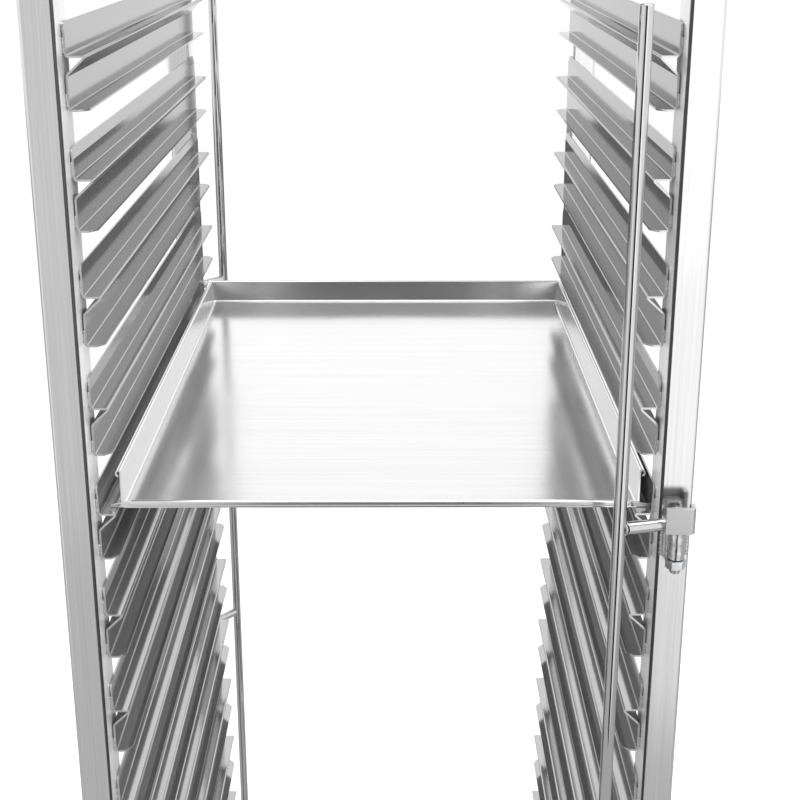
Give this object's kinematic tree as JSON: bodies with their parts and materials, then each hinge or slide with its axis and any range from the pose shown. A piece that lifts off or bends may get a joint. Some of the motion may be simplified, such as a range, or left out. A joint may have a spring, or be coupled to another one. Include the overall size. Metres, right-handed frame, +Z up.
{
  "type": "sheet pan rack",
  "caption": "Wheeled stainless tray rack with folded double runners, a swinging lock bar at each end and one open-fronted sheet pan on its ledges.",
  "frame": {"origin": "on the floor, under the middle of the bounding box", "axes": "+Z up; -Y faces the loading end in front; +X to the right of someone standing in front"},
  "size_m": [0.4643, 0.796, 1.4387],
  "materials": {
    "satin_steel": "satin, upright grain",
    "runner_sheet": "bright rolled sheet",
    "polished_rod": "polished",
    "zinc": "bright zinc",
    "pan_aluminium": "brushed lengthwise",
    "grey_tyre": "matt, moulded",
    "black_pedal": "fine texture"
  },
  "bodies": {
    "frame": {"post_front_left": "satin_steel", "post_front_right": "satin_steel", "post_rear_left": "satin_steel", "post_rear_right": "satin_steel", "base_frame": "satin_steel", "top_frame": "satin_steel", "runner_left_01": "runner_sheet", "runner_left_02": "runner_sheet", "runner_left_03": "runner_sheet", "runner_left_04": "runner_sheet", "runner_left_05": "runner_sheet", "runner_left_06": "runner_sheet", "runner_left_07": "runner_sheet", "runner_left_08": "runner_sheet", "runner_left_09": "runner_sheet", "runner_left_10": "runner_sheet", "runner_left_11": "runner_sheet", "runner_left_12": "runner_sheet", "runner_left_13": "runner_sheet", "runner_left_14": "runner_sheet", "runner_right_01": "runner_sheet", "runner_right_02": "runner_sheet", "runner_right_03": "runner_sheet", "runner_right_04": "runner_sheet", "runner_right_05": "runner_sheet", "runner_right_06": "runner_sheet", "runner_right_07": "runner_sheet", "runner_right_08": "runner_sheet", "runner_right_09": "runner_sheet", "runner_right_10": "runner_sheet", "runner_right_11": "runner_sheet", "runner_right_12": "runner_sheet", "runner_right_13": "runner_sheet", "runner_right_14": "runner_sheet", "hinge_lug_front_lower": "satin_steel", "hinge_lug_front_upper": "satin_steel", "hinge_bolt_front_lower": "zinc", "hinge_bolt_front_upper": "zinc", "hinge_lug_rear_lower": "satin_steel", "hinge_lug_rear_upper": "satin_steel", "hinge_bolt_rear_lower": "zinc", "hinge_bolt_rear_upper": "zinc", "castor_plate_front_left": "zinc", "castor_plate_front_right": "zinc", "castor_plate_rear_left": "zinc", "castor_plate_rear_right": "zinc"},
    "pan": {"sheet_pan": "pan_aluminium"},
    "lock_bar_front": {"lock_bar_front": "polished_rod"},
    "lock_bar_rear": {"lock_bar_rear": "polished_rod"},
    "castor_front_left": {"castor_fork_front_left": "zinc"},
    "wheel_front_left": {"castor_wheel_front_left": "grey_tyre"},
    "brake_left": {"brake_pedal_left": "black_pedal"},
    "castor_front_right": {"castor_fork_front_right": "zinc"},
    "wheel_front_right": {"castor_wheel_front_right": "grey_tyre"},
    "brake_right": {"brake_pedal_right": "black_pedal"},
    "castor_rear_left": {"castor_fork_rear_left": "zinc"},
    "wheel_rear_left": {"castor_wheel_rear_left": "grey_tyre"},
    "castor_rear_right": {"castor_fork_rear_right": "zinc"},
    "wheel_rear_right": {"castor_wheel_rear_right": "grey_tyre"}
  },
  "joints": [
    {"name": "pan_slide", "type": "slide", "parent": "frame", "child": "pan", "axis": [0, 1, 0], "range_m": [-0.03, 0.045]},
    {"name": "lock_bar_front_swing", "type": "hinge", "parent": "frame", "child": "lock_bar_front", "pos_m": [0.219, -0.32998, 1.0253], "axis": [0, 0, 1], "range_deg": [-14, 74]},
    {"name": "lock_bar_rear_swing", "type": "hinge", "parent": "frame", "child": "lock_bar_rear", "pos_m": [-0.219, 0.35602, 1.0253], "axis": [0, 0, 1], "range_deg": [-50, 38]},
    {"name": "swivel_front_left", "type": "hinge", "parent": "frame", "child": "castor_front_left", "pos_m": [-0.184, -0.27198, 0.137], "axis": [0, 0, 1], "continuous": true},
    {"name": "spin_front_left", "type": "hinge", "parent": "castor_front_left", "child": "wheel_front_left", "pos_m": [-0.184, -0.30998, 0.06196], "axis": [1, 0, 0], "continuous": true},
    {"name": "brake_pedal_left_tilt", "type": "hinge", "parent": "castor_front_left", "child": "brake_left", "pos_m": [-0.184, -0.33198, 0.131], "axis": [1, 0, 0], "range_deg": [-14, 0]},
    {"name": "swivel_front_right", "type": "hinge", "parent": "frame", "child": "castor_front_right", "pos_m": [0.184, -0.27198, 0.137], "axis": [0, 0, 1], "continuous": true},
    {"name": "spin_front_right", "type": "hinge", "parent": "castor_front_right", "child": "wheel_front_right", "pos_m": [0.184, -0.30998, 0.06196], "axis": [1, 0, 0], "continuous": true},
    {"name": "brake_pedal_right_tilt", "type": "hinge", "parent": "castor_front_right", "child": "brake_right", "pos_m": [0.184, -0.33198, 0.131], "axis": [1, 0, 0], "range_deg": [-14, 0]},
    {"name": "swivel_rear_left", "type": "hinge", "parent": "frame", "child": "castor_rear_left", "pos_m": [-0.184, 0.29802, 0.137], "axis": [0, 0, 1], "continuous": true},
    {"name": "spin_rear_left", "type": "hinge", "parent": "castor_rear_left", "child": "wheel_rear_left", "pos_m": [-0.184, 0.33602, 0.06196], "axis": [1, 0, 0], "continuous": true},
    {"name": "swivel_rear_right", "type": "hinge", "parent": "frame", "child": "castor_rear_right", "pos_m": [0.184, 0.29802, 0.137], "axis": [0, 0, 1], "continuous": true},
    {"name": "spin_rear_right", "type": "hinge", "parent": "castor_rear_right", "child": "wheel_rear_right", "pos_m": [0.184, 0.33602, 0.06196], "axis": [1, 0, 0], "continuous": true}
  ]
}
